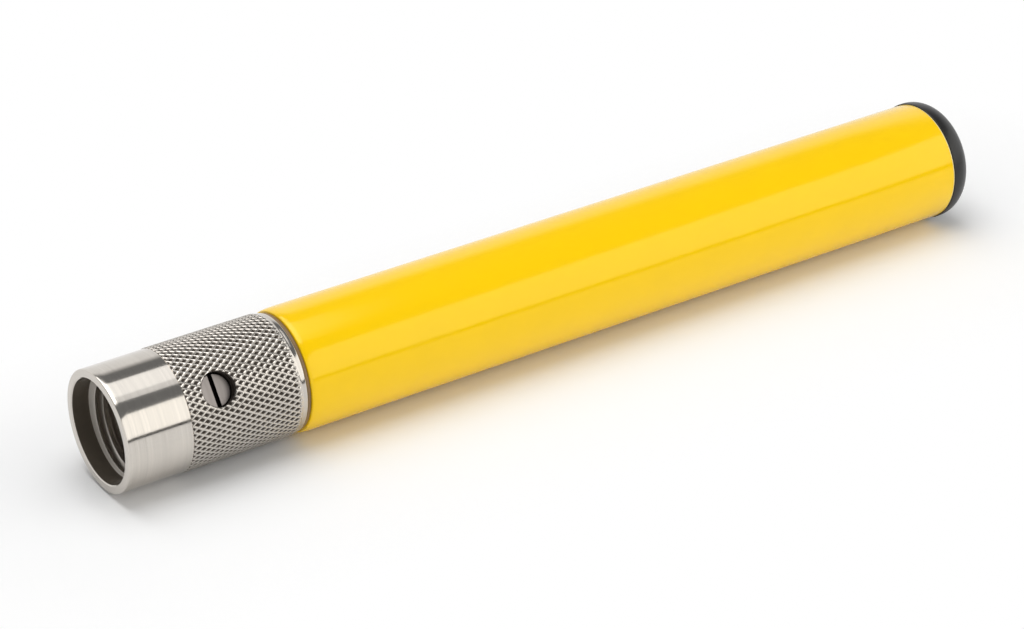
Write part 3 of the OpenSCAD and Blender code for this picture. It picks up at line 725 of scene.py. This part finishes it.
def rounded_ends(x, a):
    """The collar's radius with its outer edges rounded: a quarter circle over the bevel."""
    edge = np.minimum(x, COLLAR_END - x).clip(0, EDGE_BEVEL)
    drop = EDGE_BEVEL - np.sqrt(EDGE_BEVEL ** 2 - (EDGE_BEVEL - edge) ** 2)
    rounded = np.where(x < SMOOTH_END, SMOOTH_R, REAR_R) - drop
    return np.where(edge < EDGE_BEVEL, rounded, collar_radius(x, a))


def mouth_radius(x, a):
    """Radius of the mouth from the counterbore to the pilot bore: the thread, which runs out at
    its end, or the lead-in cone where that is wider."""
    cone = np.interp(x, [COUNTERBORE_END, LEAD_IN_END], [COUNTERBORE_R, MOUTH_MINOR_R])
    height = MOUTH_MAJOR_R - MOUTH_MINOR_R
    fade = np.interp(x, [MOUTH_THREAD_END - MOUTH_PITCH, MOUTH_THREAD_END], [1, 0])
    thread = MOUTH_MINOR_R + height * fade * thread_wave(x, a, MOUTH_PITCH, LEAD_IN_END)
    return np.maximum(cone, thread)


def mouth_surfaces():
    """The mouth, from the middle of the pilot bore's end out to the mouth face."""
    a = round_angles(COARSE)[None]
    lead_in = np.linspace(COUNTERBORE_END, LEAD_IN_END, 33)[:, None]
    entry = turned([
        (0, COUNTERBORE_R + MOUTH_BREAK),
        (MOUTH_BREAK, COUNTERBORE_R),
        (COUNTERBORE_END, COUNTERBORE_R),
    ], COARSE)
    cone = around(lead_in, mouth_radius(lead_in, a), a)
    thread = threaded(LEAD_IN_END, MOUTH_THREAD_END, MOUTH_PITCH, mouth_radius, COARSE)
    deep = turned([
        (MOUTH_THREAD_END, MOUTH_MINOR_R),
        (MOUTH_THREAD_END, PILOT_R + MOUTH_BREAK),
        (MOUTH_THREAD_END + MOUTH_BREAK, PILOT_R),
        (PILOT_END, PILOT_R),
        (PILOT_END, 0),
    ], COARSE)
    return [grid[::-1] for grid in (deep, thread, cone, entry)]


def socket_surfaces():
    """The rear socket with the neck's thread, from the rear face in to the plate's pocket. The
    thread starts and ends in a smooth fade."""
    thread_x0, thread_x1 = SOCKET_X + 2 * MM, COLLAR_END - 3 * MM
    ends = [thread_x0, thread_x0 + NECK_PITCH, thread_x1 - 0.5 * MM, thread_x1]

    def radius(x, a):
        height = (SOCKET_ROOT_R - SOCKET_R) * np.interp(x, ends, [0, 1, 1, 0])
        return SOCKET_R + height * thread_wave(x, a, NECK_PITCH, thread_x0)

    thread = threaded(thread_x0, thread_x1, NECK_PITCH, radius, COARSE)
    entry = turned([
        (COLLAR_END, SOCKET_R + SOCKET_BREAK),
        (COLLAR_END - SOCKET_BREAK, SOCKET_R),
        (thread_x1, SOCKET_R),
    ], COARSE)
    deep = turned([
        (thread_x0, SOCKET_R),
        (SOCKET_X, SOCKET_R),
        (SOCKET_X, PLATE_POCKET_R),
        (PLATE_X, PLATE_POCKET_R),
        (PLATE_X, 0),
    ], COARSE)
    return [entry, thread[::-1], deep]


LOCK_ALONG = Vector((1, 0, 0))
LOCK_ASIDE = LOCK_AXIS.cross(LOCK_ALONG)


def in_lock_hole(r, turn, height):
    """Points round the lock screw's axis: where it meets the collar's axis, plus height along
    it, plus r cos(turn) along the collar and r sin(turn) aside."""
    r, turn, height = np.broadcast_arrays(r, turn, height)
    across = r[..., None] * (np.cos(turn)[..., None] * np.array(LOCK_ALONG)
                             + np.sin(turn)[..., None] * np.array(LOCK_ASIDE))
    return np.array([LOCK_X, 0, 0]) + across + height[..., None] * np.array(LOCK_AXIS)


def lock_hole_cutter():
    """The shape that drills the lock screw's hole: a threaded bar with a small even bevel where
    it leaves the collar, at the height sqrt(R^2 - (r sin turn)^2)."""
    turn = round_angles(96)[None]
    rim = np.sqrt(SMOOTH_R ** 2 - (LOCK_HOLE_R * np.sin(turn)) ** 2)
    bevel = 0.12 * MM
    bottom, top = 7 * MM, 18 * MM
    depth, fade_l = 0.25 * MM, 0.6 * MM
    plain = 0.8 * MM
    wall = bottom + (rim - plain - bottom) * np.linspace(0, 1, 64)[:, None]
    fade = np.interp(rim - plain - wall, [0, fade_l], [0, 1])
    wave = thread_wave(wall, turn, LOCK_PITCH, 0) * fade
    rows = [
        in_lock_hole(0, turn, bottom),
        in_lock_hole(LOCK_HOLE_R, turn, bottom),
        in_lock_hole(LOCK_HOLE_R + depth * wave, turn, wall),
        in_lock_hole(LOCK_HOLE_R, turn, rim - bevel),
        in_lock_hole(LOCK_HOLE_R + 3 * bevel, turn, rim + 2 * bevel),
        in_lock_hole(LOCK_HOLE_R + 3 * bevel, turn, top),
        in_lock_hole(0, turn, top),
    ]
    return np.concatenate([row.reshape(-1, turn.size, 3) for row in rows])


def drilled(made, cutter_cells):
    """Cuts a closed shape out of a piece for good."""
    cutter = bpy.data.objects.new("cutter", mesh_of("cutter", [cutter_cells]))
    bpy.context.scene.collection.objects.link(cutter)
    cut = made.modifiers.new("drill", "BOOLEAN")
    cut.operation = "DIFFERENCE"
    cut.solver = "MANIFOLD"
    cut.object = cutter
    graph = bpy.context.evaluated_depsgraph_get()
    result = bpy.data.meshes.new_from_object(made.evaluated_get(graph))
    made.modifiers.clear()
    made.data = result
    bpy.data.objects.remove(cutter)
    result.shade_smooth()
    result.set_sharp_from_angle(angle=math.radians(METAL_SHARP))


def make_collar():
    """The collar: its outside, mouth and socket as one closed skin, drilled for the lock screw."""
    outside_grid, outside = collar_outside()
    mouth = mouth_surfaces()
    socket = socket_surfaces()
    faces = [joined(mouth[-1][-1], outside_grid[0]), joined(outside_grid[-1], socket[0][0])]
    parts = [cells(grid) for grid in mouth + socket] + [outside] + faces
    made = piece("steel_collar", parts, "collar", "collar", "collar_steel", METAL_SHARP)
    drilled(made, cells(lock_hole_cutter()))
    soften_ridges(made.data)


def soften_ridges(mesh):
    """Lets the shading run over the knurl's ridges and pits, as if they were worn round: no edge
    between its two ends is sharp, except round the drilled hole."""
    points = np.empty((len(mesh.vertices), 3), np.float32)
    mesh.vertices.foreach_get("co", points.ravel())
    ends = np.empty((len(mesh.edges), 2), np.int32)
    mesh.edges.foreach_get("vertices", ends.ravel())
    pit_r = PEAK_R - KNURL_DEPTH - 0.05 * MM
    rim_r = LOCK_HOLE_R + 0.3 * MM
    x0, x1 = SMOOTH_END + 0.13 * MM, BEVEL_START - 0.05 * MM
    middle = points[ends].mean(1)
    outside = np.hypot(middle[:, 1], middle[:, 2]) > pit_r
    across = np.cross(middle - np.array([LOCK_X, 0, 0]), np.array(LOCK_AXIS))
    clear = np.linalg.norm(across, axis=1) > rim_r
    knurled = (middle[:, 0] > x0) & (middle[:, 0] < x1)
    sharp = np.empty(len(mesh.edges), bool)
    mesh.attributes["sharp_edge"].data.foreach_get("value", sharp)
    mesh.attributes["sharp_edge"].data.foreach_set("value", sharp & ~(outside & clear & knurled))


def make_lock_screw():
    """The lock screw. The columns of its grids are chords beside the slot, at places from -r to
    r; the slot's edges are two columns at one place, so that its walls stand upright. Above a
    column's own height its rows meet, so the floor of the slot closes against the thread."""
    bevel = 0.35 * MM
    thread_d = 0.22 * MM
    face_r = LOCK_R - bevel
    half = SLOT_W / 2
    floor = LOCK_TOP - SLOT_D
    chords = face_r * np.sin(np.radians(np.linspace(-90, 90, 41)))
    left = chords[chords < -half - 1e-6]
    right = chords[chords > half + 1e-6]
    inner = np.linspace(-half, half, 5)
    places = np.concatenate([left, [-half], inner, [half], right])
    tops = np.full(len(places), LOCK_TOP)
    tops[len(left) + 1:][:len(inner)] = floor
    share = np.linspace(-1, 1, 25)[:, None]
    reach = np.sqrt(np.clip(face_r ** 2 - places ** 2, 0, None))
    across = share * reach
    face = in_lock_hole(np.hypot(places, across), np.arctan2(across, places), tops[None])
    turn = np.concatenate([np.arctan2(reach, places), np.arctan2(-reach, places)[::-1]])
    turn = np.concatenate([turn, turn[:1]])
    high = np.concatenate([tops, tops[::-1], tops[:1]])
    levels = np.concatenate([
        np.linspace(LOCK_TOP - bevel, floor, 9),
        np.linspace(floor, LOCK_BOTTOM + bevel, 20)[1:],
    ])[:, None]
    height = np.minimum(levels, high)
    side_r = LOCK_R - thread_d * thread_wave(height, turn[None], LOCK_PITCH, LOCK_BOTTOM)
    swivel_top = LOCK_BOTTOM + SWIVEL_D
    bottom = [
        (face_r, LOCK_BOTTOM),
        (SWIVEL_R, LOCK_BOTTOM),
        (SWIVEL_R, swivel_top),
        (0, swivel_top),
    ]
    rows = [in_lock_hole(face_r, turn, high)[None], in_lock_hole(side_r, turn[None], height)]
    rows += [in_lock_hole(r, turn, h)[None] for r, h in bottom]
    parts = [cells(face), cells(np.concatenate(rows))]
    piece("slotted_lock_screw", parts, "lock_screw", "lock_screw", "screw_steel", METAL_SHARP)


# ---- Housing ----


def closed(profile):
    """A profile whose last point meets its first one."""
    return list(profile) + [profile[0]]


def make_washer():
    """The dark slip washer: a rectangle with two quarter circles outside, carried round."""
    x0, x1 = WASHER[0].x, WASHER[1].x
    r = WASHER[1].z
    round_r = 0.3 * MM
    hole_r = 13.8 * MM
    profile = [(x0, hole_r)]
    profile += arc((x0 + round_r, r - round_r), round_r, 180, 90, 5)
    profile += arc((x1 - round_r, r - round_r), round_r, 90, 0, 5)
    profile += [(x1, hole_r)]
    parts = [cells(turned(closed(profile)))]
    piece("slip_ring", parts, "slip_washer", "slip_washer", "washer_fibre")


def make_sleeve():
    """The yellow sleeve: a nose that turns in along a quarter of an ellipse, and a rear edge with
    a small round."""
    x0, x1 = SLEEVE[0].x, SLEEVE[1].x
    r = SLEEVE[1].z
    inner_r = 15.03 * MM
    nose_l, nose_drop = 3 * MM, 0.5 * MM
    round_r = 0.2 * MM
    t = np.radians(np.linspace(0, 90, 13))
    nose = np.stack([x0 + nose_l * (1 - np.cos(t)), r - nose_drop * (1 - np.sin(t))], 1)
    profile = [(x0, inner_r), *nose]
    profile += [(x0 + (x1 - x0) * k / 8, r) for k in range(1, 8)]
    profile += arc((x1 - round_r, r - round_r), round_r, 90, 0, 4)
    profile += [(x1, inner_r)]
    parts = [cells(turned(closed(profile), 320))]
    piece("glossy_sleeve", parts, "housing", "yellow_sleeve", "sleeve_yellow")


def make_cap():
    """The end cap: a straight rim, a quarter circle, and a low dome, which falls with the square
    of the share of its radius; inside is the bore for the stud."""
    x0, x1 = CAP[0].x, CAP[1].x
    r = CAP[1].z
    edge, rim_l, corner_r, dome_h = 0.15 * MM, 1.2 * MM, 6 * MM, 1 * MM
    bore_r, bore_end = 6.05 * MM, x0 + 5.3 * MM
    share = np.linspace(1, 0, 13)[1:]
    dome_r = r - corner_r
    profile = [(bore_end, 0), (bore_end, bore_r), (x0, bore_r)]
    profile += arc((x0 + edge, r - edge), edge, 180, 90, 3)
    profile += arc((x0 + rim_l, r - corner_r), corner_r, 90, 0, 20)
    profile += [(x1 - dome_h * s * s, dome_r * s) for s in share]
    piece("domed_cap", [cells(turned(profile, 320))], "housing", "end_cap", "cap_black")


def make_neck():
    """The steel neck: thread in front, O-ring groove, flange, and the spigot in the tube. The
    thread is cut into the neck's radius by depth, and its ends fade in and out."""
    x0, x1 = NECK[0].x, NECK[1].x
    flange_x, flange_end = WASHER[1].x, WASHER[1].x + 3 * MM
    groove_end = COLLAR_END - 0.3 * MM
    groove_x = groove_end - 1.8 * MM
    groove_r = NECK_R - 1.5 * MM
    bore_r, spigot_r, flange_r = 7.75 * MM, 12.97 * MM, 15 * MM
    nose_r, edge = NECK_R - 0.8 * MM, 0.2 * MM
    depth = 0.85 * MM
    thread_x0, thread_x1 = x0 + 0.9 * MM, groove_x - 1 * MM
    ends = [thread_x0, thread_x0 + 0.5 * MM, thread_x1 - NECK_PITCH, thread_x1]

    def radius(x, a):
        fade = np.interp(x, ends, [0, 1, 1, 0])
        return NECK_R - depth * fade * thread_wave(x, a, NECK_PITCH, thread_x0)

    front = turned([(x0, bore_r), (x0, nose_r), (thread_x0, NECK_R)])
    thread = threaded(thread_x0, thread_x1, NECK_PITCH, radius, 256)
    rear = turned([
        (thread_x1, NECK_R),
        (groove_x, NECK_R),
        (groove_x, groove_r),
        (groove_end, groove_r),
        (groove_end, NECK_R),
        (flange_x, NECK_R),
        (flange_x, flange_r - edge),
        (flange_x + edge, flange_r),
        (flange_end, flange_r),
        (flange_end, spigot_r),
        (x1, spigot_r),
        (x1, bore_r),
        (x0, bore_r),
    ])
    parts = [cells(grid) for grid in (front, thread, rear)]
    piece("threaded_neck", parts, "housing", "neck_spigot", "neck_steel", METAL_SHARP)


def make_o_ring(name, node, thickness):
    """An O-ring: a circle carried round the axis."""
    low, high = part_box(node)
    ring_r = high.z - thickness / 2
    middle = (low.x + high.x) / 2
    profile = arc((middle, ring_r), (high.x - low.x) / 2, 360, 0, 24)
    piece(name, [cells(turned(profile, 160))], "housing", node, "seal_rubber")


def make_winding():
    """The antenna coil: one layer of enamelled wire, side by side, as a helical surface whose
    section is a row of half circles."""
    low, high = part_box("antenna_coil")
    outer_r = high.z
    inner_r = outer_r - 2.9 * MM
    turns, rows, columns = 60, 6, 64
    pitch = (high.x - low.x) / turns
    middle_r = outer_r - pitch / 2
    a = round_angles(columns)[None]
    starts = low.x - pitch + pitch / rows * np.arange((turns + 1) * rows + 1)
    x = np.clip(starts[:, None] + pitch * a / TURN, low.x, high.x)
    share = ((x - low.x) / pitch - a / TURN) % 1.0
    bulge = pitch / 2 * np.sqrt(np.clip(1 - (2 * share - 1) ** 2, 0, 1))
    edge = np.interp(np.minimum(x - low.x, high.x - x), [0, pitch / 2], [0, 1])
    wire = around(x, middle_r + bulge * edge, a)
    rest = [(high.x, middle_r), (high.x, inner_r), (low.x, inner_r), (low.x, middle_r)]
    parts = [cells(wire), cells(turned(rest, columns))]
    piece("wound_coil", parts, "housing", "antenna_coil", "copper_enamel", WINDING_SHARP)


def dress_nodes():
    """Gives every CAD node the finish of its slot."""
    for part in frame["record"]["subparts"]:
        mesh = frame["nodes"][part["node"]].data
        mesh.materials.clear()
        mesh.materials.append(FINISHES[part["material_slot"]])


dress_nodes()
make_collar()
make_lock_screw()
make_washer()
make_sleeve()
make_cap()
make_neck()
make_o_ring("neck_seal", "neck_o_ring", 1.5 * MM)
make_o_ring("plug_seal", "plug_o_ring", 1.8 * MM)
make_winding()


# ---- Studio ----

FLOOR_Z = cad_box[0].z
MIDDLE = (cad_box[0] + cad_box[1]) / 2
HALF_LENGTH = cad_box[1].x - MIDDLE.x
FLOOR_R = 1.7
COVE_R = 0.3
WALL_TOP = 1.75

# The floor is seen as plain white from the second of these distances from the object, and the
# wall darkens from the first of these heights up to the second
WHITE_FADE = (0.01, 0.07)
WALL_FADE = (1.15, WALL_TOP)


def cyclorama():
    """Floor and wall in one: a disc that turns up along a quarter circle into a round wall."""
    t = np.radians(np.linspace(-90, 0, 17))
    profile = [(0.0, 0.0), (0.3, 0.0), (0.8, 0.0), (FLOOR_R, 0.0)]
    profile += [(FLOOR_R + COVE_R * c, COVE_R + COVE_R * s) for c, s in zip(np.cos(t), np.sin(t))]
    profile += [(FLOOR_R + COVE_R, WALL_TOP)]
    r, z = np.array(profile).T[:, :, None]
    a = round_angles(96)[None]
    x, y, z = np.broadcast_arrays(MIDDLE.x + r * np.cos(a), r * np.sin(a), FLOOR_Z + z)
    mesh = mesh_of("studio", [cells(np.stack([x, y, z], -1))])
    mesh.shade_smooth()
    studio = bpy.data.objects.new("studio", mesh)
    bpy.context.scene.collection.objects.link(studio)
    mesh.materials.append(studio_white())


def studio_white():
    """Matt white paper. Away from the object it is seen as plain white, by the camera and in
    reflections alike; near the object it keeps its light and shadow. The top of the wall is seen
    darker."""
    material, n, shader = new_finish("studio_white", Roughness=1.0, Specular_IOR_Level=0.0)
    place = n.place()
    paper = n.blend(n.noise(place, 3.0), (0.93, 0.93, 0.93, 1), (0.94, 0.94, 0.94, 1))
    n.feed(shader, Base_Color=paper)
    x, y, z = n.split(place)
    from_middle = n.maths("ABSOLUTE", n.minus(x, MIDDLE.x))
    past_end = n.maths("MAXIMUM", n.minus(from_middle, HALF_LENGTH), 0.0)
    far = n.span(n.length(past_end, y), *WHITE_FADE)
    path = n.add("LightPath").outputs
    seen = n.plus(path["Is Camera Ray"], path["Is Glossy Ray"])
    seen = n.plus(seen, path["Is Transmission Ray"])
    seen_white = n.blend(n.span(z, *WALL_FADE), (1, 1, 1, 1), (0.2, 0.2, 0.2, 1))
    white = n.add("Emission", inputs={"Color": seen_white, "Strength": 1.0}).outputs[0]
    mixed = n.add("MixShader", inputs={0: n.times(far, seen), 1: shader.outputs[0], 2: white})
    n.feed(n.tree.nodes["Material Output"], Surface=mixed.outputs[0])
    return material


def panel(name, centre, aim, width, height, radiance, colour=(1, 1, 1)):
    """A soft rectangular lamp at a centre, facing a point. Its power follows from how bright its
    face looks: power = pi * radiance * area."""
    data = bpy.data.lights.new(name, "AREA")
    data.shape = "RECTANGLE"
    data.size, data.size_y = width, height
    data.energy = math.pi * radiance * width * height
    data.color = colour
    lamp = bpy.data.objects.new(name, data)
    lamp.location = centre
    lamp.rotation_euler = (Vector(aim) - Vector(centre)).to_track_quat("-Z", "Y").to_euler()
    lamp.visible_camera = False
    bpy.context.scene.collection.objects.link(lamp)
    return lamp


def black_cloth(lamp):
    """The black cloth of a lamp: a skirt from its lower edge down to the floor, and its back. In
    polished metal the skirt is the thin dark line between the lamp and the white floor. The
    cloth waves a little along u: depth = behind + height sin(waves u)."""
    behind, thickness = 0.01, 0.02
    height, waves = 0.004, 60
    bpy.context.view_layer.update()
    u = np.linspace(-0.5, 0.5, 81)
    wave = height * np.sin(waves * u)
    placed = np.array(lamp.matrix_world)
    x, y, z = lamp.data.size * u, lamp.data.size_y / 2, behind + wave
    low, low_back, high_back = [
        np.stack([x, np.full(len(u), side), z + depth], 1) @ placed[:3, :3].T + placed[:3, 3]
        for side, depth in ((-y, 0), (-y, thickness), (y, thickness))
    ]
    foot = low.copy()
    foot[:, 2] = FLOOR_Z
    mesh = mesh_of("lamp_cloth", [cells(np.stack([foot, low, low_back, high_back]))])
    cloth = bpy.data.objects.new("lamp_cloth", mesh)
    cloth.visible_camera = False
    cloth.visible_diffuse = False
    bpy.context.scene.collection.objects.link(cloth)
    mesh.materials.append(moulded("cloth_black", linear(22, 22, 22), 0.8, 1500.0, 0.2 * MM))


def light():
    """A low even world and four panels. Two hang overhead and end before they would show in the
    sleeve; one stands in front with its black cloth; and a large high one behind gives the soft
    shadow."""
    world = bpy.data.worlds.new("studio")
    world.use_nodes = True
    backdrop = world.node_tree.nodes["Background"]
    backdrop.inputs["Color"].default_value = (0.96, 0.98, 1.0, 1)
    backdrop.inputs["Strength"].default_value = 0.21
    bpy.context.scene.world = world
    top, length = 0.4, 0.36
    x = COLLAR_END + 0.52 * top - length / 2
    panel("overhead", (x, 0.055, top), (x, 0.055, 0), length, 0.23, 1.22)
    panel("overhead_edge", (x, -0.1, top), (x, -0.1, 0), length, 0.08, 0.8)
    centre, aim, warm = (0.8275, -0.711, 0.46), (0.2575, 0.139, 0.05), (1.0, 0.99, 0.96)
    black_cloth(panel("front", centre, aim, 1.8, 0.8, 1.53, warm))
    panel("high", (-0.05, 0.3, 1.42), (-0.05, 0, 0), 0.95, 1.9, 2.15)


def camera():
    """Long lens, from the front left and above."""
    azimuth, elevation = math.radians(-34.11), math.radians(29.61)
    aim = Vector((0.1201, -0.0028, -0.0040))
    distance = 0.8754
    level = math.cos(elevation)
    back = Vector((math.sin(azimuth) * level, -math.cos(azimuth) * level, math.sin(elevation)))
    data = bpy.data.cameras.new("camera")
    data.lens = 117.8
    data.sensor_width = 36
    made = bpy.data.objects.new("camera", data)
    made.location = aim + distance * back
    made.rotation_euler = (-back).to_track_quat("-Z", "Y").to_euler()
    bpy.context.scene.collection.objects.link(made)
    bpy.context.scene.camera = made


cyclorama()
light()
camera()
bpy.context.scene.view_settings.view_transform = "Standard"
